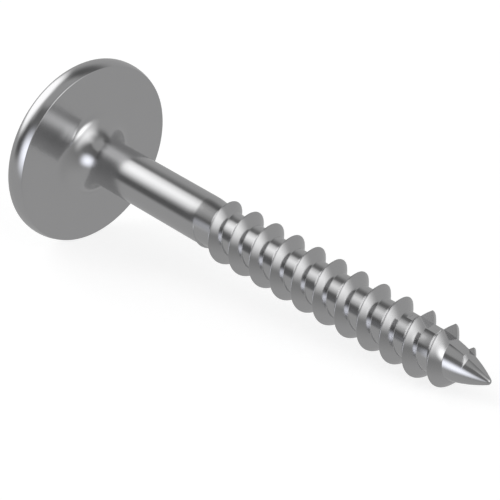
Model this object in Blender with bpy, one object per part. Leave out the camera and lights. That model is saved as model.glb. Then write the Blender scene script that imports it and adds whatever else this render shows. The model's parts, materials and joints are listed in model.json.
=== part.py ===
"""Wafer head timber screw, lying at rest on the rim of its head and on its thread.

The screw is one turned and rolled piece of steel. It is built in its own frame, with Z along the
axis from the head to the point and the flat seat of the head at Z = 0, and is then laid down.
"""

import math

import bpy
from mathutils import Matrix

MM = 0.001

# Head: a wide thin disc with a barrelled rim, a flat seat and a flat top
HEAD_RADIUS = 12.83 * MM
RIM_BULGE = 0.24 * MM
RIM_BARREL_HEIGHT = 2.0 * MM
TOP_EDGE_HEIGHT = 1.35 * MM
TOP_EDGE_WIDTH = 1.8 * MM
NECK_FILLET_WIDTH = 3.3 * MM
NECK_FILLET_LENGTH = 4.0 * MM

# Plain shank, the taper down to the threaded core, and the point
SHANK_RADIUS = 3.18 * MM
SHANK_LENGTH = 21.6 * MM
STEP_TAPER_LENGTH = 4.4 * MM
CORE_RADIUS = 2.69 * MM
POINT_START = 58.6 * MM
POINT_ARC_RADIUS = 18.5 * MM
NOSE_RADIUS = 0.46 * MM

# Thread: one coarse right-hand start of V section, which rises out of the shank
THREAD_RADIUS = 4.0 * MM
THREAD_PITCH = 3.564 * MM
THREAD_FLANK_ANGLE = math.radians(37.5)
CREST_LAND = 0.08 * MM
RUN_IN_START = 22.1 * MM
RUN_IN_ANGLE = math.radians(-83.7)
RUN_IN_SLOPE = 0.29
RUN_OUT_START = 59.2 * MM
RUN_OUT_ARC_RADIUS = 7.3 * MM

# Flute: a sector cut from the last turns of the thread, with a flat across the core as its floor
FLUTE_START = 54.5 * MM
FLUTE_FIRST_ANGLE = math.radians(143.0)
FLUTE_WIDTH_ANGLE = math.radians(50.0)
FLUTE_BITE = 0.06 * MM

# Six-lobe drive recess in the top of the head
RECESS_TIP_RADIUS = 3.37 * MM
RECESS_VALLEY_RADIUS = 2.43 * MM
RECESS_DEPTH = 2.6 * MM
RECESS_CONE_DEPTH = 0.5 * MM
RECESS_LOBES = 6

# Fineness of the facets
ROUND_SIDES = 48
NECK_STEPS = 7
RIM_STEPS = 5
TOP_EDGE_STEPS = 5
POINT_STEPS = 9
NOSE_STEPS = 3
LOBE_STEPS = 12

# How far joined or cut shapes reach into or past each other
ROOT_SINK = 0.35 * MM
CREST_SINK = 0.12 * MM
CUT_MARGIN = 1.0 * MM

HEAD_HEIGHT = RIM_BARREL_HEIGHT + TOP_EDGE_HEIGHT
SIDE_ANGLE = 2 * math.pi / ROUND_SIDES

STEEL_COLOUR = (0.56, 0.56, 0.57, 1.0)
STEEL_ROUGHNESS = 0.22


def clear_scene():
    for old_object in list(bpy.data.objects):
        bpy.data.objects.remove(old_object, do_unlink=True)


def steel():
    material = bpy.data.materials.new("bright_zinc_steel")
    material.use_nodes = True
    shader = material.node_tree.nodes["Principled BSDF"]
    shader.inputs["Base Color"].default_value = STEEL_COLOUR
    shader.inputs["Metallic"].default_value = 1.0
    shader.inputs["Roughness"].default_value = STEEL_ROUGHNESS
    return material


def new_object(name, vertices, faces):
    mesh = bpy.data.meshes.new(name)
    mesh.from_pydata(vertices, [], faces)
    mesh.validate()
    made = bpy.data.objects.new(name, mesh)
    bpy.context.collection.objects.link(made)
    return made


def helper(made, carrier):
    """Mark an object as a shape that only cuts or joins, and tie it to what it works on."""
    made.hide_render = True
    made.display_type = "WIRE"
    made.parent = carrier
    return made


def boolean(target, tool, operation):
    modifier = target.modifiers.new(tool.name, "BOOLEAN")
    modifier.object = tool
    modifier.operation = operation
    modifier.solver = "EXACT"


def arc_drop(z, start, radius):
    """Fall of an arc that leaves a straight side at start and bends towards the axis."""
    run = max(0.0, z - start)
    return radius - math.sqrt(max(0.0, radius ** 2 - run ** 2))


def nose_centre():
    """Place on the axis of the ball that closes the point, tangent to the point's arc."""
    across = POINT_ARC_RADIUS - CORE_RADIUS
    along = math.sqrt((POINT_ARC_RADIUS - NOSE_RADIUS) ** 2 - across ** 2)
    return POINT_START + along


def blank_radius(z):
    """Radius of the screw under its thread, from the shank to the point."""
    taper = (SHANK_RADIUS - CORE_RADIUS) / STEP_TAPER_LENGTH
    tapered = SHANK_RADIUS - taper * max(0.0, z - SHANK_LENGTH)
    core = CORE_RADIUS - arc_drop(z, POINT_START, POINT_ARC_RADIUS)
    return min(max(tapered, CORE_RADIUS), core) if z > SHANK_LENGTH else SHANK_RADIUS


def crest_radius(z):
    """Radius of the thread's crest: it climbs out of the shank and dies out on the point."""
    run_in = SHANK_RADIUS + RUN_IN_SLOPE * (z - RUN_IN_START)
    run_out = THREAD_RADIUS - arc_drop(z, RUN_OUT_START, RUN_OUT_ARC_RADIUS)
    return min(run_in, run_out)


def quarter(steps):
    """Angles of a quarter turn, both ends included."""
    return [math.pi / 2 * step / steps for step in range(steps + 1)]


def point_stations():
    """Places along the axis of the rings that divide the point's arc, both ends included."""
    slope = math.acos((POINT_ARC_RADIUS - CORE_RADIUS) / (POINT_ARC_RADIUS - NOSE_RADIUS))
    steps = range(POINT_STEPS + 1)
    return [POINT_START + POINT_ARC_RADIUS * math.sin(slope * step / POINT_STEPS) for step in steps]


def blank_profile():
    """Half outline of the screw without thread, as (radius, z) from the top to the point."""
    outline = []
    for angle in reversed(quarter(TOP_EDGE_STEPS)):
        radius = HEAD_RADIUS - TOP_EDGE_WIDTH * (1 - math.cos(angle))
        outline.append((radius, -RIM_BARREL_HEIGHT - TOP_EDGE_HEIGHT * math.sin(angle)))
    for step in range(1, RIM_STEPS + 1):
        share = step / RIM_STEPS
        outline.append((HEAD_RADIUS - RIM_BULGE * share ** 2, -RIM_BARREL_HEIGHT * (1 - share)))
    for angle in quarter(NECK_STEPS):
        radius = SHANK_RADIUS + NECK_FILLET_WIDTH * (1 - math.sin(angle))
        outline.append((radius, NECK_FILLET_LENGTH * (1 - math.cos(angle))))
    outline.append((SHANK_RADIUS, SHANK_LENGTH))
    outline.append((CORE_RADIUS, SHANK_LENGTH + STEP_TAPER_LENGTH))
    for z in point_stations():
        outline.append((CORE_RADIUS - arc_drop(z, POINT_START, POINT_ARC_RADIUS), z))
    slope = math.acos((POINT_ARC_RADIUS - CORE_RADIUS) / (POINT_ARC_RADIUS - NOSE_RADIUS))
    for step in range(1, NOSE_STEPS):
        angle = slope + (math.pi / 2 - slope) * step / NOSE_STEPS
        outline.append((NOSE_RADIUS * math.cos(angle), nose_centre() + NOSE_RADIUS * math.sin(angle)))
    return outline


def turned(name, outline, first_pole, last_pole):
    """Turn an outline round Z into a closed body with a pole at each end.

    The sides are laid so that the middle of one of them, not an edge, faces +X.
    """
    vertices = [(0.0, 0.0, first_pole)]
    for radius, z in outline:
        for side in range(ROUND_SIDES):
            angle = (side + 0.5) * SIDE_ANGLE
            vertices.append((radius * math.cos(angle), radius * math.sin(angle), z))
    vertices.append((0.0, 0.0, last_pole))
    faces = []
    for side in range(ROUND_SIDES):
        following = (side + 1) % ROUND_SIDES
        faces.append((0, 1 + following, 1 + side))
        for ring in range(len(outline) - 1):
            here = 1 + ring * ROUND_SIDES
            below = here + ROUND_SIDES
            faces.append((here + side, here + following, below + following, below + side))
        last = 1 + (len(outline) - 1) * ROUND_SIDES
        faces.append((len(vertices) - 1, last + side, last + following))
    return new_object(name, vertices, faces)


def swept(name, sections):
    """Closed body through a row of sections, whose corners run anticlockwise seen from behind its start."""
    corners = len(sections[0])
    vertices = [corner for section in sections for corner in section]
    last = len(vertices) - corners
    faces = [tuple(range(corners))]
    for here in range(0, last, corners):
        beyond = here + corners
        for corner in range(corners):
            following = (corner + 1) % corners
            faces.append((here + corner, beyond + corner, beyond + following, here + following))
    faces.append(tuple(reversed(range(last, len(vertices)))))
    return new_object(name, vertices, faces)


def thread_section(z):
    """V section of the thread at z, as (radius, z) from the shank side over the crest."""
    crest = crest_radius(z)
    root = blank_radius(z) - ROOT_SINK
    half_crest = CREST_LAND / 2
    half_root = half_crest + (crest - root) * math.tan(THREAD_FLANK_ANGLE)
    return [(root, z - half_root), (crest, z - half_crest), (crest, z + half_crest), (root, z + half_root)]


def thread_ridge():
    """Sweep the thread's section along its helix, from under the shank's skin to under the point's."""
    rise = THREAD_PITCH / ROUND_SIDES
    step = -math.ceil(CREST_SINK / RUN_IN_SLOPE / rise)
    first = round(RUN_IN_ANGLE / SIDE_ANGLE)
    sections = []
    while True:
        angle = (first + step) * SIDE_ANGLE
        z = RUN_IN_START + THREAD_PITCH * (angle - RUN_IN_ANGLE) / (2 * math.pi)
        turned_section = []
        for radius, along in thread_section(z):
            turned_section.append((radius * math.cos(angle), radius * math.sin(angle), along))
        sections.append(turned_section)
        step += 1
        if z > RUN_OUT_START and crest_radius(z) < blank_radius(z) - CREST_SINK:
            break
    return swept("thread_ridge", sections)


def prism(name, outline, first_z, last_z, tip_z=None):
    """Closed prism along Z over an outline of (x, y) points that runs anticlockwise.

    Its far end is flat, or a low cone up to tip_z on the axis.
    """
    count = len(outline)
    vertices = [(x, y, first_z) for x, y in outline] + [(x, y, last_z) for x, y in outline]
    faces = [tuple(reversed(range(count)))]
    if tip_z is None:
        faces.append(tuple(range(count, 2 * count)))
    else:
        vertices.append((0.0, 0.0, tip_z))
    for corner in range(count):
        following = (corner + 1) % count
        faces.append((corner, following, count + following, count + corner))
        if tip_z is not None:
            faces.append((count + corner, count + following, 2 * count))
    return new_object(name, vertices, faces)


def flute_cutter():
    """Wedge which takes a sector out of the thread near the point and leaves a flat across the core.

    The flat follows the point's arc and fades out where the nose begins.
    """
    reach = 2 * THREAD_RADIUS
    first_angle = FLUTE_FIRST_ANGLE
    last_angle = FLUTE_FIRST_ANGLE + FLUTE_WIDTH_ANGLE
    stations = [FLUTE_START] + point_stations()
    floor = [blank_radius(z) - FLUTE_BITE for z in stations]
    floor[-1] = blank_radius(stations[-1]) / math.cos(FLUTE_WIDTH_ANGLE / 2) + FLUTE_BITE
    sections = []
    for radius, z in zip(floor, stations):
        corners = ((radius, first_angle), (radius, last_angle), (reach, last_angle), (reach, first_angle))
        sections.append([(out * math.cos(angle), out * math.sin(angle), z) for out, angle in corners])
    return swept("flute_cutter", sections)


def recess_outline():
    middle = (RECESS_TIP_RADIUS + RECESS_VALLEY_RADIUS) / 2
    swing = (RECESS_TIP_RADIUS - RECESS_VALLEY_RADIUS) / 2
    count = RECESS_LOBES * LOBE_STEPS
    outline = []
    for step in range(count):
        angle = 2 * math.pi * step / count
        radius = middle + swing * math.cos(RECESS_LOBES * angle)
        outline.append((radius * math.cos(angle), radius * math.sin(angle)))
    return outline


def recess_cutter():
    """Six-lobe bit shape with a shallow cone at its bottom."""
    floor = -HEAD_HEIGHT + RECESS_DEPTH
    top = -HEAD_HEIGHT - CUT_MARGIN
    return prism("recess_cutter", recess_outline(), top, floor, floor + RECESS_CONE_DEPTH)


def reach_down(vertices, tilt):
    """How far the lowest of some vertices lies under the axis, with the point tilted down."""
    return max(vertex.co.x * math.cos(tilt) + vertex.co.z * math.sin(tilt) for vertex in vertices)


def rest_tilt(blank, ridge):
    """Slope of the axis at which the head's rim and the thread both touch the ground."""
    head = [vertex for vertex in blank.data.vertices if vertex.co.z <= 0]
    thread = list(ridge.data.vertices)
    low = 0.0
    high = math.pi / 4
    for _ in range(50):
        tilt = (low + high) / 2
        if reach_down(head, tilt) > reach_down(thread, tilt):
            low = tilt
        else:
            high = tilt
    return tilt


def lay_down(screw, ridge):
    """Turn the axis from Z to +X with the point down, and set the lowest point on the ground."""
    tilt = rest_tilt(screw, ridge)
    turn = Matrix.Rotation(math.pi / 2 + tilt, 4, "Y")
    placed = [turn @ vertex.co for made in (screw, ridge) for vertex in made.data.vertices]
    low_x = min(point.x for point in placed)
    high_x = max(point.x for point in placed)
    low_z = min(point.z for point in placed)
    screw.rotation_euler = turn.to_euler()
    screw.location = (-(low_x + high_x) / 2, 0.0, -low_z)


def build():
    clear_scene()
    point_end = nose_centre() + NOSE_RADIUS
    screw = turned("screw", blank_profile(), -HEAD_HEIGHT, point_end)
    screw.data.materials.append(steel())
    ridge = helper(thread_ridge(), screw)
    boolean(screw, ridge, "UNION")
    boolean(screw, helper(flute_cutter(), screw), "DIFFERENCE")
    boolean(screw, helper(recess_cutter(), screw), "DIFFERENCE")
    lay_down(screw, ridge)


build()
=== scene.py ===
"""Looks of the wafer head timber screw: its fine surface, bright steel, studio and camera.

The fine surface is made in the screw's own frame, with Z along the axis from the head to the point and
the flat seat of the head at Z = 0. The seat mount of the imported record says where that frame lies.
"""

import json
import math

import bpy
from mathutils import Matrix, Vector


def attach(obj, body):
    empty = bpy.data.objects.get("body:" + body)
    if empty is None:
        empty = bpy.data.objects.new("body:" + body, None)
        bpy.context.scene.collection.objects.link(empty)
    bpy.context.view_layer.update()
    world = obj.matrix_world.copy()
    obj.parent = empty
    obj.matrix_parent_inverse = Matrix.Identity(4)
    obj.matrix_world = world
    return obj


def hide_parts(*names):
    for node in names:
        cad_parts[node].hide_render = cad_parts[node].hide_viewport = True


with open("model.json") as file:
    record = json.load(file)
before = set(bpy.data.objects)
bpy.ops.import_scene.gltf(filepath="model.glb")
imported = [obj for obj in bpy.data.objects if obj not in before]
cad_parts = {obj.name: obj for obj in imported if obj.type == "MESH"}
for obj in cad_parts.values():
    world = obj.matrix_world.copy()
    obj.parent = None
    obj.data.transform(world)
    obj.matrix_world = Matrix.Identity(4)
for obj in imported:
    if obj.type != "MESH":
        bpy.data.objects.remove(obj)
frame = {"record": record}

MM = 0.001

# Head: a wide thin disc with a barrelled rim, a flat seat and a flat top
HEAD_RADIUS = 12.783 * MM
HEAD_HEIGHT = 3.332 * MM
RIM_BULGE = 0.3 * MM
RIM_BARREL_HEIGHT = 1.5 * MM
SEAT_EDGE_ROUND = 0.12 * MM
TOP_EDGE_WIDTH = 1.86 * MM
TOP_EDGE_POWER = 2.5
NECK_FILLET_WIDTH = 3.3 * MM
NECK_FILLET_LENGTH = 4.0 * MM
TOP_EDGE_HEIGHT = HEAD_HEIGHT - RIM_BARREL_HEIGHT

# Plain shank, the taper down to the threaded core, and the point
SHANK_RADIUS = 3.18 * MM
SHANK_LENGTH = 21.6 * MM
STEP_TAPER_LENGTH = 4.4 * MM
STEP_SOFTNESS = 0.04 * MM
CORE_RADIUS = 2.69 * MM
POINT_START = 58.6 * MM
POINT_ARC_RADIUS = 18.5 * MM
NOSE_RADIUS = 0.465 * MM

# Thread: one coarse right-hand start of V section with slightly rounded flanks, out of the shank
THREAD_RADIUS = 4.0 * MM
THREAD_PITCH = 3.564 * MM
THREAD_HEIGHT = THREAD_RADIUS - CORE_RADIUS
CREST_FLANK_ANGLE = math.radians(44.0)
ROOT_FLANK_ANGLE = math.radians(30.0)
CREST_ROUND = 0.06 * MM
ROOT_BLEND = 0.03 * MM
RUN_IN_START = 22.1 * MM
RUN_IN_ANGLE = math.radians(-83.7)
RUN_IN_SLOPE = 0.29
RUN_OUT_START = 59.2 * MM
RUN_OUT_ARC_RADIUS = 7.3 * MM

# Flute: a sector cut from the last turns of the thread, with a flat across the core as its floor
FLUTE_START = 54.5 * MM
FLUTE_FADE_LENGTH = 0.9 * MM
FLUTE_FIRST_ANGLE = math.radians(143.0)
FLUTE_WIDTH_ANGLE = math.radians(50.0)
FLUTE_MIDDLE_ANGLE = FLUTE_FIRST_ANGLE + FLUTE_WIDTH_ANGLE / 2

# Six-lobe drive recess in the top of the head
RECESS_TIP_RADIUS = 3.37 * MM
RECESS_VALLEY_RADIUS = 2.43 * MM
RECESS_DEPTH = 2.6 * MM
RECESS_CONE_DEPTH = 0.5 * MM
RECESS_EDGE_ROUND = 0.1 * MM
RECESS_LOBES = 6

# Fineness of the surface: columns round the axis, and steps along each curve
COLUMNS = 180
COLUMN_ANGLE = 2 * math.pi / COLUMNS
FLUTE_COLUMNS = round(FLUTE_WIDTH_ANGLE / COLUMN_ANGLE)
TOP_EDGE_STEPS = 22
RIM_STEPS = 8
SMALL_ROUND_STEPS = 6
NECK_STEPS = 26
POINT_STEPS = 8
NOSE_STEPS = 9

# The threaded ribbon starts and ends on the side that the camera doesn't see
FIRST_TURN = -1.25
LAST_TURN = 11.5
FIRST_COLUMN = round(FIRST_TURN * COLUMNS)
LAST_COLUMN = round(LAST_TURN * COLUMNS)
LAST_REACH_SHARE = 0.15
RING_CLEARANCE = 0.2 * MM

# How half of the thread's section is divided, from the crest over the flank to the middle of the root
CREST_SHARES = (0.5, 1.0)
FLANK_SHARES = (0.15, 0.4, 0.65, 0.9, 1.0)
BLEND_SHARES = (-0.5, 0.0, 0.5, 1.0)
ROOT_SHARES = (0.05, 0.5, 0.8, 1.0)
FOOT_ROUNDS = 8
LEAST_FLANK = 0.02 * MM

# Heights closer than these make too thin a strip, or count as level, and the angle of a sharp edge
SLIVER = 0.004 * MM
LEVEL_TOLERANCE = 0.0005 * MM
SHARP_ANGLE = math.radians(35.0)

# Camera, from the photograph's outline
SENSOR_WIDTH = 36.0
CAMERA_LENS = 152.93
CAMERA_PLACE = (166.58 * MM, -173.81 * MM, 114.23 * MM)
CAMERA_AIM = (-1.93 * MM, -0.4 * MM, 7.7 * MM)

# Steel: its colour and roughness between the dark and the pale clouds, and the grain of the plating
STEEL_DARK = (0.55, 0.55, 0.555, 1.0)
STEEL_PALE = (0.57, 0.57, 0.575, 1.0)
STEEL_ROUGHNESS = (0.13, 0.17)
NOISE_RANGE = (0.3, 0.7)
CLOUD_SIZE = 5.0 * MM
CLOUD_DETAIL = 4.0
GRAIN_SIZE = 0.25 * MM
GRAIN_DETAIL = 2.0
GRAIN_HEIGHT = 0.0004 * MM

# Studio: the room, and its panels in the order they stand, the nearest last. Azimuth from +X,
# elevation and half sizes are in degrees, and a soft edge is a share of the half sizes.
# The metal mirrors this room, and only a small share of the white background.
WHITE = (1.0, 1.0, 1.0, 1.0)
ROOM_COLOUR = (0.45, 0.45, 0.45, 1.0)
METAL_SEES_BACKGROUND = 0.02
PANELS = (
    # Dark flag high on the left of the camera
    {"azimuth": -74, "elevation": 35, "half_width": 39, "half_height": 19, "soft_edge": 0.26,
     "squareness": 6.9, "colour": (0.15, 0.15, 0.15, 1.0)},
    # Dim stretch of wall behind the camera
    {"azimuth": -33, "elevation": 7, "half_width": 36, "half_height": 30, "soft_edge": 1.39,
     "squareness": 4.9, "colour": (0.24, 0.24, 0.24, 1.0)},
    # Small dark flag on the left
    {"azimuth": -122, "elevation": 15, "half_width": 16, "half_height": 19, "soft_edge": 0.4,
     "squareness": 5.1, "colour": (0.11, 0.11, 0.11, 1.0)},
    # Dark strip high behind the screw
    {"azimuth": 123, "elevation": 65, "half_width": 33, "half_height": 11, "soft_edge": 0.76,
     "squareness": 5, "colour": (0.09, 0.09, 0.09, 1.0)},
    # Small dim patch low on the far side
    {"azimuth": 74, "elevation": -53, "half_width": 9, "half_height": 11, "soft_edge": 1.49,
     "squareness": 1.3, "colour": (0.41, 0.41, 0.41, 1.0)},
    # Wide dark strip high over the far side
    {"azimuth": 87, "elevation": 58, "half_width": 66, "half_height": 12, "soft_edge": 1.24,
     "squareness": 3.6, "colour": (0.14, 0.14, 0.14, 1.0)},
    # Bright window beyond the head
    {"azimuth": -166, "elevation": 38, "half_width": 34, "half_height": 25, "soft_edge": 0.35,
     "squareness": 2.8, "colour": (1.78, 1.78, 1.78, 1.0)},
    # Bluish window on the left of the camera
    {"azimuth": -89, "elevation": 2, "half_width": 19, "half_height": 18, "soft_edge": 0.85,
     "squareness": 2.1, "colour": (1.75, 1.79, 1.94, 1.0)},
    # Bright window beyond the point
    {"azimuth": -3, "elevation": 31, "half_width": 23, "half_height": 19, "soft_edge": 1.06,
     "squareness": 5.3, "colour": (1.5, 1.5, 1.5, 1.0)},
    # Small window low beyond the point, the brightest
    {"azimuth": 10, "elevation": 5, "half_width": 13, "half_height": 9, "soft_edge": 0.65,
     "squareness": 2.4, "colour": (2.08, 2.08, 2.08, 1.0)},
)

# Floor: its colour, and the light of its own that brings it to white
FLOOR_SIZE = 4.0
FLOOR_COLOUR = (0.4, 0.4, 0.4, 1.0)
FLOOR_GLOW = 0.78

# Places of the colour blend node's sockets
COLOUR_BLEND_SOCKETS = (0, 6, 7)
COLOUR_BLEND_RESULT = 2

# How a straight stretch is divided, with a narrow strip at each end to hold its shading flat
STRAIGHT_SHARES = (0.0, 0.02, 0.25, 0.5, 0.75, 0.98, 1.0)


def smooth_max(first, second, softness):
    """The larger of two values, with a soft change where they are closer than softness."""
    closeness = max(0.0, softness - abs(first - second))
    return max(first, second) + closeness ** 2 / (4 * softness)


def smooth_min(first, second, softness):
    return -smooth_max(-first, -second, softness)


def arc_drop(z, start, radius):
    """Fall of an arc that leaves a straight side at start and bends towards the axis."""
    run = max(0.0, z - start)
    return radius - math.sqrt(max(0.0, radius ** 2 - run ** 2))


def nose_centre():
    """Place on the axis of the ball that closes the point, tangent to the point's arc."""
    across = POINT_ARC_RADIUS - CORE_RADIUS
    along = math.sqrt((POINT_ARC_RADIUS - NOSE_RADIUS) ** 2 - across ** 2)
    return POINT_START + along


def blank_radius(z):
    """Radius of the screw under its thread, from the shank to the point."""
    slope = (SHANK_RADIUS - CORE_RADIUS) / STEP_TAPER_LENGTH
    taper = SHANK_RADIUS - slope * (z - SHANK_LENGTH)
    upper = smooth_min(SHANK_RADIUS, smooth_max(taper, CORE_RADIUS, STEP_SOFTNESS), STEP_SOFTNESS)
    return upper - arc_drop(z, POINT_START, POINT_ARC_RADIUS)


def point_slope():
    """Lean of the point's arc towards the axis where the nose takes over."""
    return math.acos((POINT_ARC_RADIUS - CORE_RADIUS) / (POINT_ARC_RADIUS - NOSE_RADIUS))


def flute_share(angle, z):
    """How much of the round radius the flute's flat leaves, at an angle and a place along the axis."""
    half_width = FLUTE_WIDTH_ANGLE / 2
    across = abs(math.remainder(angle - FLUTE_MIDDLE_ANGLE, 2 * math.pi))
    if across > half_width:
        return 1.0
    flat = math.cos(half_width) / math.cos(across)
    flute_end = POINT_START + POINT_ARC_RADIUS * math.sin(point_slope())
    depth = min(1.0, max(0.0, (flute_end - z) / FLUTE_FADE_LENGTH))
    return 1 - depth * (1 - flat)


def fluted(radius, z):
    """A round radius with the flute's flat, as a function of the angle."""
    return lambda angle: radius * flute_share(angle, z)


def crest_radius(z):
    """Radius of the thread's crest: it climbs out of the shank and dies out on the point."""
    run_in = SHANK_RADIUS + RUN_IN_SLOPE * (z - RUN_IN_START)
    run_out = THREAD_RADIUS - arc_drop(z, RUN_OUT_START, RUN_OUT_ARC_RADIUS)
    return min(run_in, run_out)


def straight(first, last):
    """Points of a straight side of an outline, from one (radius, z) to another."""
    points = []
    for share in STRAIGHT_SHARES:
        points.append(tuple(a + (b - a) * share for a, b in zip(first, last)))
    return points


def arc(centre, radius, first, last, steps):
    """Points of an outline's arc round a (radius, z) centre; angle 0 points away from the axis."""
    points = []
    for step in range(steps + 1):
        angle = first + (last - first) * step / steps
        points.append((centre[0] + radius * math.cos(angle), centre[1] + radius * math.sin(angle)))
    return points


def column_angle(column):
    """Angle round the axis of a column, counted on through all the thread's turns."""
    return FLUTE_FIRST_ANGLE + column * COLUMN_ANGLE


class Skin:
    """Vertices and faces of the fine surface, in the screw's own frame, as they are made."""

    def __init__(self):
        self.points = []
        self.faces = []

    def point(self, radius, angle, z):
        self.points.append((radius * math.cos(angle), radius * math.sin(angle), z))
        return len(self.points) - 1

    def height(self, index):
        return self.points[index][2]

    def ring(self, radius, z):
        """A closed ring. Its radius is a number, or a function of the angle."""
        made = []
        for column in range(COLUMNS):
            angle = column_angle(column)
            reach = radius(angle) if callable(radius) else radius
            made.append(self.point(reach, angle, z))
        return made

    def band(self, first, second):
        """Faces between two rings, where the second comes later along the outline."""
        for column in range(COLUMNS):
            following = (column + 1) % COLUMNS
            self.faces.append((first[column], first[following], second[following], second[column]))

    def bands(self, rings):
        for first, second in zip(rings, rings[1:]):
            self.band(first, second)

    def zip_columns(self, left, right):
        """Faces between two neighbouring columns of vertices, which both run from the head to the point."""
        here = 0
        there = 0
        while here < len(left) - 1 or there < len(right) - 1:
            left_z = self.height(left[here + 1]) if here < len(left) - 1 else math.inf
            right_z = self.height(right[there + 1]) if there < len(right) - 1 else math.inf
            level = abs(left_z - right_z) < LEVEL_TOLERANCE
            both_last = here == len(left) - 2 and there == len(right) - 2
            if level or both_last:
                self.faces.append((left[here], right[there], right[there + 1], left[here + 1]))
                here += 1
                there += 1
            elif left_z < right_z:
                self.faces.append((left[here], right[there], left[here + 1]))
                here += 1
            else:
                self.faces.append((left[here], right[there], right[there + 1]))
                there += 1


def lobe(share, widening):
    """Radius of the drive recess's outline as a function of the angle, shrunk and widened."""
    middle = (RECESS_TIP_RADIUS + RECESS_VALLEY_RADIUS) / 2
    swing = (RECESS_TIP_RADIUS - RECESS_VALLEY_RADIUS) / 2
    return lambda angle: (middle + swing * math.cos(RECESS_LOBES * angle)) * share + widening


def recess_rings():
    """Rings of the drive recess, from the edge of its bottom point to its rim on the flat top."""
    floor = RECESS_DEPTH - HEAD_HEIGHT
    wall_top = RECESS_EDGE_ROUND - HEAD_HEIGHT
    rings = []
    for share in STRAIGHT_SHARES[1:]:
        rings.append((lobe(share, 0.0), floor + RECESS_CONE_DEPTH * (1 - share)))
    for share in STRAIGHT_SHARES[1:]:
        rings.append((lobe(1.0, 0.0), floor + (wall_top - floor) * share))
    for step in range(1, SMALL_ROUND_STEPS + 1):
        angle = math.pi / 2 * step / SMALL_ROUND_STEPS
        widening = RECESS_EDGE_ROUND * (1 - math.cos(angle))
        rings.append((lobe(1.0, widening), wall_top - RECESS_EDGE_ROUND * math.sin(angle)))
    return rings


def top_ring(share):
    """A ring of the flat top, which turns from the recess's outline into a circle as share grows."""
    inner = lobe(1.0, RECESS_EDGE_ROUND)
    outer = HEAD_RADIUS - TOP_EDGE_WIDTH
    return lambda angle: inner(angle) * (1 - share) + outer * share


def head_outline():
    """Outline of the head's edge, seat and neck and of the plain shank, as (radius, z)."""
    outline = []
    for step in range(1, TOP_EDGE_STEPS + 1):
        angle = math.pi / 2 * (1 - step / TOP_EDGE_STEPS)
        radius = HEAD_RADIUS - TOP_EDGE_WIDTH * (1 - math.cos(angle) ** (2 / TOP_EDGE_POWER))
        rise = TOP_EDGE_HEIGHT * math.sin(angle) ** (2 / TOP_EDGE_POWER)
        outline.append((radius, -RIM_BARREL_HEIGHT - rise))
    lean = math.atan(2 * RIM_BULGE / RIM_BARREL_HEIGHT)
    barrel_end = -SEAT_EDGE_ROUND * (1 - math.sin(lean))
    for step in range(1, RIM_STEPS + 1):
        share = step / RIM_STEPS
        z = -RIM_BARREL_HEIGHT + (RIM_BARREL_HEIGHT + barrel_end) * share
        outline.append((HEAD_RADIUS - RIM_BULGE * share ** 2, z))
    edge_centre = (outline[-1][0] - SEAT_EDGE_ROUND * math.cos(lean), -SEAT_EDGE_ROUND)
    outline += arc(edge_centre, SEAT_EDGE_ROUND, lean, math.pi / 2, SMALL_ROUND_STEPS)[1:]
    outline += straight(outline[-1], (SHANK_RADIUS + NECK_FILLET_WIDTH, 0.0))[1:]
    for step in range(1, NECK_STEPS + 1):
        angle = math.pi / 2 * step / NECK_STEPS
        radius = SHANK_RADIUS + NECK_FILLET_WIDTH * (1 - math.sin(angle))
        outline.append((radius, NECK_FILLET_LENGTH * (1 - math.cos(angle))))
    thread_top = crest_height(FIRST_COLUMN) - THREAD_PITCH / 2 - RING_CLEARANCE
    outline += straight(outline[-1], (SHANK_RADIUS, thread_top))[1:]
    return outline


def point_outline(first_z):
    """Outline of the bare point, from a height on its arc to the end of its nose."""
    slope = point_slope()
    first = math.asin((first_z - POINT_START) / POINT_ARC_RADIUS)
    arc_centre = (CORE_RADIUS - POINT_ARC_RADIUS, POINT_START)
    outline = arc(arc_centre, POINT_ARC_RADIUS, first, slope, POINT_STEPS)
    nose = arc((0.0, nose_centre()), NOSE_RADIUS, slope, math.pi / 2, NOSE_STEPS)
    return outline + nose[1:-1]


def crest_height(column):
    """Place along the axis of the thread's crest at a column."""
    return RUN_IN_START + THREAD_PITCH * (column_angle(column) - RUN_IN_ANGLE) / (2 * math.pi)


def flank_offset(depth):
    """How far the thread's rounded flank has moved along the axis, at a depth under its crest."""
    crest_slope = math.tan(CREST_FLANK_ANGLE)
    root_slope = math.tan(ROOT_FLANK_ANGLE)
    curved = min(depth, THREAD_HEIGHT)
    bend = (crest_slope - root_slope) / (2 * THREAD_HEIGHT)
    return crest_slope * curved - bend * curved ** 2 + root_slope * (depth - curved)


def flank_depth(offset):
    """Depth under the crest at which the flank has moved by an offset: flank_offset turned round."""
    crest_slope = math.tan(CREST_FLANK_ANGLE)
    root_slope = math.tan(ROOT_FLANK_ANGLE)
    last = flank_offset(THREAD_HEIGHT)
    if offset > last:
        return THREAD_HEIGHT + (offset - last) / root_slope
    bend = (crest_slope - root_slope) / (2 * THREAD_HEIGHT)
    return (crest_slope - math.sqrt(crest_slope ** 2 - 4 * bend * offset)) / (2 * bend)


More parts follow.
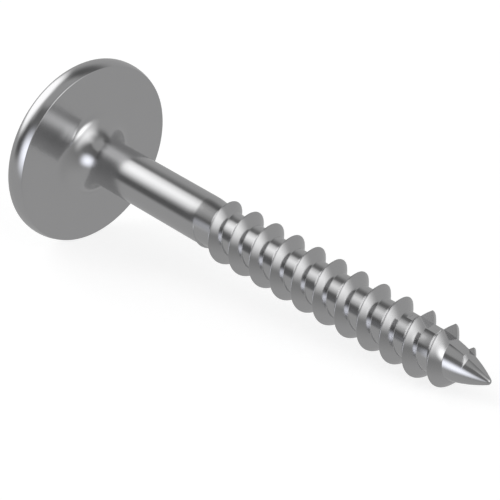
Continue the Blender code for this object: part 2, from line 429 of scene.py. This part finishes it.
def half_section(centre, direction, reach):
    """One side of the thread's section, from beside its crest outwards, as (radius, z)."""
    crest = crest_radius(centre)
    crest_turn = math.pi / 2 - CREST_FLANK_ANGLE
    side = CREST_ROUND * math.sin(crest_turn)
    shoulder = crest - CREST_ROUND * (1 - math.cos(crest_turn))
    foot = side
    for _ in range(FOOT_ROUNDS):
        depth = max(0.0, shoulder - blank_radius(centre + direction * foot))
        foot = side + max(LEAST_FLANK, flank_offset(depth))
    blend = min(ROOT_BLEND, (foot - side) / 2)
    softness = blend / math.tan(ROOT_FLANK_ANGLE)
    offsets = [CREST_ROUND * math.sin(crest_turn * share) for share in CREST_SHARES]
    offsets += [side + (foot - blend - side) * share for share in FLANK_SHARES]
    offsets += [foot + blend * share for share in BLEND_SHARES]
    offsets += [foot + blend + (reach - foot - blend) * share for share in ROOT_SHARES]
    rows = []
    for offset in offsets:
        z = centre + direction * offset
        bare = blank_radius(z)
        if offset < side:
            ridge = crest - CREST_ROUND + math.sqrt(CREST_ROUND ** 2 - offset ** 2)
        else:
            ridge = shoulder - flank_depth(offset - side)
        rows.append((smooth_max(ridge, bare, softness), z))
    return rows


def section(column):
    """The thread's section at a column, over one pitch from the head's side to the point's."""
    centre = crest_height(column)
    last_turn = max(0.0, (column - LAST_COLUMN + COLUMNS) / COLUMNS)
    ending = 1 - (1 - LAST_REACH_SHARE) * last_turn
    upper = half_section(centre, -1, THREAD_PITCH / 2)
    lower = half_section(centre, 1, THREAD_PITCH / 2 * ending)
    middle = (smooth_max(crest_radius(centre), blank_radius(centre), LEAST_FLANK), centre)
    return list(reversed(upper)) + [middle] + lower


def flute_sides(column):
    """Whether the flute has taken the thread away just before a column, and just after it."""
    if crest_height(column) < FLUTE_START:
        return False, False
    place = column % COLUMNS
    return 0 < place <= FLUTE_COLUMNS, 0 <= place < FLUTE_COLUMNS


def floor_radius(column, z):
    """Radius at a column near the point without thread: round, or flat across the flute."""
    return blank_radius(z) * flute_share(column_angle(column), z)


def column_points(skin, rows, column, cut):
    angle = column_angle(column)
    return [skin.point(floor_radius(column, z) if cut else ridge, angle, z) for ridge, z in rows]


class Thread:
    """The threaded stretch: a ribbon one pitch wide that winds down the core, with its flute."""

    def __init__(self, skin):
        self.skin = skin
        self.before = {}
        self.after = {}
        for column in range(FIRST_COLUMN, LAST_COLUMN + 1):
            self.add_column(column)

    def add_column(self, column):
        rows = section(column)
        if column <= LAST_COLUMN - COLUMNS:
            rows = rows[:-1]
        cut_before, cut_after = flute_sides(column)
        self.before[column] = column_points(self.skin, rows, column, cut_before)
        self.after[column] = self.before[column]
        if cut_before == cut_after:
            return
        self.after[column] = list(self.before[column])
        angle = column_angle(column)
        for row, (ridge, z) in enumerate(rows):
            floor = floor_radius(column, z)
            if ridge - floor > LEVEL_TOLERANCE:
                self.after[column][row] = self.skin.point(floor if cut_after else ridge, angle, z)

    def column(self, side, column):
        """All vertices of a column; its last one is the first of the column one turn on."""
        below = column + COLUMNS
        return side[column] + ([side[below][0]] if below <= LAST_COLUMN else [])

    def cover(self):
        for column in range(FIRST_COLUMN, LAST_COLUMN):
            left = self.column(self.after, column)
            right = self.column(self.before, column + 1)
            for row in range(len(left) - 1):
                self.skin.faces.append((left[row], right[row], right[row + 1], left[row + 1]))
        for column in range(FIRST_COLUMN, LAST_COLUMN + 1):
            if self.before[column] is not self.after[column]:
                self.cover_flute_wall(column)

    def cover_flute_wall(self, column):
        left = self.column(self.before, column)
        right = self.column(self.after, column)
        for row in range(len(left) - 1):
            corners = dict.fromkeys((left[row], right[row], right[row + 1], left[row + 1]))
            if len(corners) > 2:
                self.skin.faces.append(tuple(corners))

    def join_above(self, ring):
        """Fill the wedge between a ring of the shank and the ribbon's first turn."""
        height = self.skin.height
        seam = self.column(self.before, FIRST_COLUMN)
        previous = [ring[FIRST_COLUMN % COLUMNS], seam[0]]
        for step in range(1, COLUMNS + 1):
            column = FIRST_COLUMN + step
            edge = self.before[column][0]
            if step == COLUMNS:
                inner = seam[:-1]
            else:
                heights = [height(index) for index in seam]
                levels = [z for z in heights if z < height(edge) - SLIVER]
                inner = [self.skin.point(blank_radius(z), column_angle(column), z) for z in levels]
            current = [ring[column % COLUMNS]] + inner + [edge]
            self.skin.zip_columns(previous, current)
            previous = current

    def join_below(self, ring):
        """Fill the wedge between the ribbon's last turn and a ring of the point."""
        height = self.skin.height
        seam = self.column(self.after, LAST_COLUMN)
        heights = [height(index) for index in seam]
        previous = seam + [ring[LAST_COLUMN % COLUMNS]]
        for step in range(1, COLUMNS + 1):
            column = LAST_COLUMN - COLUMNS + step
            edge = self.column(self.after, column)[-1]
            inner = []
            if step < COLUMNS:
                levels = [z for z in heights if z > height(edge) + SLIVER]
                inner = [self.skin.point(floor_radius(column, z), column_angle(column), z) for z in levels]
            current = [edge] + inner + [ring[column % COLUMNS]]
            self.skin.zip_columns(previous, current)
            previous = current


def sharpen_flute(mesh):
    """Keep the two long edges of the flute's flat crisp."""
    on_edge = []
    for vertex in mesh.vertices:
        across = math.remainder(math.atan2(vertex.co.y, vertex.co.x) - FLUTE_MIDDLE_ANGLE, 2 * math.pi)
        beside = abs(abs(across) - FLUTE_WIDTH_ANGLE / 2) < COLUMN_ANGLE / 4
        on_edge.append(beside and vertex.co.z > FLUTE_START)
    for edge in mesh.edges:
        if all(on_edge[vertex] for vertex in edge.vertices):
            edge.use_edge_sharp = True


def steel_screw(material):
    """The whole screw as one closed fine mesh, in its own frame."""
    skin = Skin()
    recess_bottom = skin.point(0.0, 0.0, RECESS_DEPTH + RECESS_CONE_DEPTH - HEAD_HEIGHT)
    rings = [skin.ring(radius, z) for radius, z in recess_rings()]
    rings += [skin.ring(top_ring(share), -HEAD_HEIGHT) for share in STRAIGHT_SHARES[1:]]
    rings += [skin.ring(radius, z) for radius, z in head_outline()]
    skin.bands(rings)
    thread = Thread(skin)
    thread.cover()
    thread.join_above(rings[-1])
    last_height = skin.height(thread.before[LAST_COLUMN][-1])
    point_rings = []
    for radius, z in point_outline(last_height + RING_CLEARANCE):
        point_rings.append(skin.ring(fluted(radius, z), z))
    thread.join_below(point_rings[0])
    skin.bands(point_rings)
    nose_end = skin.point(0.0, 0.0, nose_centre() + NOSE_RADIUS)
    for column in range(COLUMNS):
        following = (column + 1) % COLUMNS
        skin.faces.append((recess_bottom, rings[0][following], rings[0][column]))
        skin.faces.append((point_rings[-1][column], point_rings[-1][following], nose_end))
    mesh = bpy.data.meshes.new("steel_screw")
    mesh.from_pydata(skin.points, [], skin.faces)
    mesh.shade_smooth()
    mesh.set_sharp_from_angle(angle=SHARP_ANGLE)
    sharpen_flute(mesh)
    mesh.transform(screw_frame())
    mesh.materials.append(material)
    made = bpy.data.objects.new("steel_screw", mesh)
    bpy.context.scene.collection.objects.link(made)
    return made


def screw_frame():
    """Matrix that lays the screw down: its Z along the axis towards the point, its X towards the ground."""
    seat = next(mount for mount in frame["record"]["mounts"] if mount["name"] == "seat")
    along = Vector(seat["axis"]).normalized()
    side = Vector((0.0, 1.0, 0.0))
    down = side.cross(along)
    centre = Vector((seat["pos_m"][0], 0.0, seat["pos_m"][2]))
    turn = Matrix((down, side, along)).transposed().to_4x4()
    return Matrix.Translation(centre) @ turn


class Nodes:
    """A short way to add nodes to a tree and to link them."""

    def __init__(self, tree):
        self.tree = tree

    def add(self, kind, **settings):
        node = self.tree.nodes.new(kind)
        for name, value in settings.items():
            setattr(node, name, value)
        return node

    def feed(self, socket, value):
        """Give a socket its value: the output of another node, or a number."""
        if isinstance(value, bpy.types.NodeSocket):
            self.tree.links.new(value, socket)
        else:
            socket.default_value = value

    def math(self, operation, *values):
        node = self.add("ShaderNodeMath", operation=operation)
        for socket, value in zip(node.inputs, values):
            self.feed(socket, value)
        return node.outputs[0]

    def spread(self, value, first, last, interpolation="LINEAR"):
        """Turn a value between the two ends of first into one between the two ends of last."""
        node = self.add("ShaderNodeMapRange", interpolation_type=interpolation)
        for socket, number in zip(node.inputs, (value, *first, *last)):
            self.feed(socket, number)
        return node.outputs[0]

    def blend(self, factor, first, second):
        node = self.add("ShaderNodeMix", data_type="RGBA")
        for index, value in zip(COLOUR_BLEND_SOCKETS, (factor, first, second)):
            self.feed(node.inputs[index], value)
        return node.outputs[COLOUR_BLEND_RESULT]

    def noise(self, place, size, detail):
        """Soft noise between 0 and 1, with features of about a given size."""
        node = self.add("ShaderNodeTexNoise")
        self.feed(node.inputs["Vector"], place)
        node.inputs["Scale"].default_value = 1 / size
        node.inputs["Detail"].default_value = detail
        return node.outputs["Fac"]


def bright_steel():
    """Zinc-plated steel: a soft mirror, with the faint clouds and the fine grain of its plating."""
    material = bpy.data.materials.new("bright_steel")
    material.use_nodes = True
    nodes = Nodes(material.node_tree)
    shader = material.node_tree.nodes["Principled BSDF"]
    shader.inputs["Metallic"].default_value = 1.0
    place = nodes.add("ShaderNodeTexCoord").outputs["Object"]
    clouds = nodes.noise(place, CLOUD_SIZE, CLOUD_DETAIL)
    grain = nodes.noise(place, GRAIN_SIZE, GRAIN_DETAIL)
    nodes.feed(shader.inputs["Base Color"], nodes.blend(clouds, STEEL_DARK, STEEL_PALE))
    nodes.feed(shader.inputs["Roughness"], nodes.spread(clouds, NOISE_RANGE, STEEL_ROUGHNESS))
    bump = nodes.add("ShaderNodeBump")
    bump.inputs["Distance"].default_value = GRAIN_HEIGHT
    nodes.feed(bump.inputs["Height"], grain)
    nodes.feed(shader.inputs["Normal"], bump.outputs["Normal"])
    return material


def camera():
    """The photograph's view: from beyond the point, to its left and above."""
    lens = bpy.data.cameras.new("camera")
    lens.lens = CAMERA_LENS
    lens.sensor_width = SENSOR_WIDTH
    made = bpy.data.objects.new("camera", lens)
    bpy.context.scene.collection.objects.link(made)
    made.location = CAMERA_PLACE
    aim = Vector(CAMERA_AIM) - Vector(CAMERA_PLACE)
    made.rotation_euler = aim.to_track_quat("-Z", "Y").to_euler()
    bpy.context.scene.camera = made


def panel_share(nodes, azimuth, elevation, panel):
    """How much of a studio panel lies in a direction: 1 inside it, 0 outside it."""
    turn = nodes.math("SUBTRACT", azimuth, math.radians(panel["azimuth"]))
    turn = nodes.math("WRAP", turn, math.pi, -math.pi)
    climb = nodes.math("SUBTRACT", elevation, math.radians(panel["elevation"]))
    total = 0.0
    for offset, half_size in ((turn, panel["half_width"]), (climb, panel["half_height"])):
        share = nodes.math("ABSOLUTE", nodes.math("DIVIDE", offset, math.radians(half_size)))
        total = nodes.math("ADD", nodes.math("POWER", share, panel["squareness"]), total)
    distance = nodes.math("POWER", total, 1 / panel["squareness"])
    soft = panel["soft_edge"]
    return nodes.spread(distance, (1 - soft, 1 + soft), (1.0, 0.0), "SMOOTHSTEP")


def background_share(nodes, metal_share):
    """How much of a ray sees the white background: all of a camera ray, little of a mirrored one."""
    path = nodes.add("ShaderNodeLightPath").outputs
    mirrored = nodes.math("ADD", path["Is Glossy Ray"], path["Is Transmission Ray"])
    return nodes.math("ADD", path["Is Camera Ray"], nodes.math("MULTIPLY", mirrored, metal_share))


def studio():
    """A pale grey room with white panels and dark flags, which light the screw and show in its metal."""
    world = bpy.data.worlds.new("studio")
    bpy.context.scene.world = world
    world.use_nodes = True
    nodes = Nodes(world.node_tree)
    place = nodes.add("ShaderNodeTexCoord").outputs["Generated"]
    axes = nodes.add("ShaderNodeSeparateXYZ")
    nodes.feed(axes.inputs["Vector"], place)
    azimuth = nodes.math("ARCTAN2", axes.outputs["Y"], axes.outputs["X"])
    elevation = nodes.math("ARCSINE", axes.outputs["Z"])
    seen = ROOM_COLOUR
    for panel in PANELS:
        seen = nodes.blend(panel_share(nodes, azimuth, elevation, panel), seen, panel["colour"])
    seen = nodes.blend(background_share(nodes, METAL_SEES_BACKGROUND), seen, WHITE)
    nodes.feed(world.node_tree.nodes["Background"].inputs["Color"], seen)


def pale_floor():
    """A wide plain floor that only the camera sees. It glows white and keeps the screw's shadow."""
    bpy.ops.mesh.primitive_plane_add(size=FLOOR_SIZE)
    made = bpy.context.object
    made.name = "floor"
    material = bpy.data.materials.new("floor")
    material.use_nodes = True
    tree = material.node_tree
    tree.nodes.clear()
    nodes = Nodes(tree)
    lit = nodes.add("ShaderNodeBsdfDiffuse")
    lit.inputs["Color"].default_value = FLOOR_COLOUR
    glow = nodes.add("ShaderNodeEmission")
    glow.inputs["Color"].default_value = WHITE
    glow.inputs["Strength"].default_value = FLOOR_GLOW
    both = nodes.add("ShaderNodeAddShader")
    nodes.feed(both.inputs[0], lit.outputs["BSDF"])
    nodes.feed(both.inputs[1], glow.outputs["Emission"])
    open_air = nodes.add("ShaderNodeBsdfTransparent")
    shown = nodes.add("ShaderNodeMixShader")
    nodes.feed(shown.inputs["Fac"], nodes.add("ShaderNodeLightPath").outputs["Is Camera Ray"])
    nodes.feed(shown.inputs[1], open_air.outputs["BSDF"])
    nodes.feed(shown.inputs[2], both.outputs["Shader"])
    nodes.feed(nodes.add("ShaderNodeOutputMaterial").inputs["Surface"], shown.outputs["Shader"])
    made.data.materials.append(material)


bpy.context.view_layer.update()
screw = steel_screw(bright_steel())
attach(screw, "root")
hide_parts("screw")
camera()
studio()
pale_floor()
bpy.context.scene.view_settings.view_transform = "Standard"
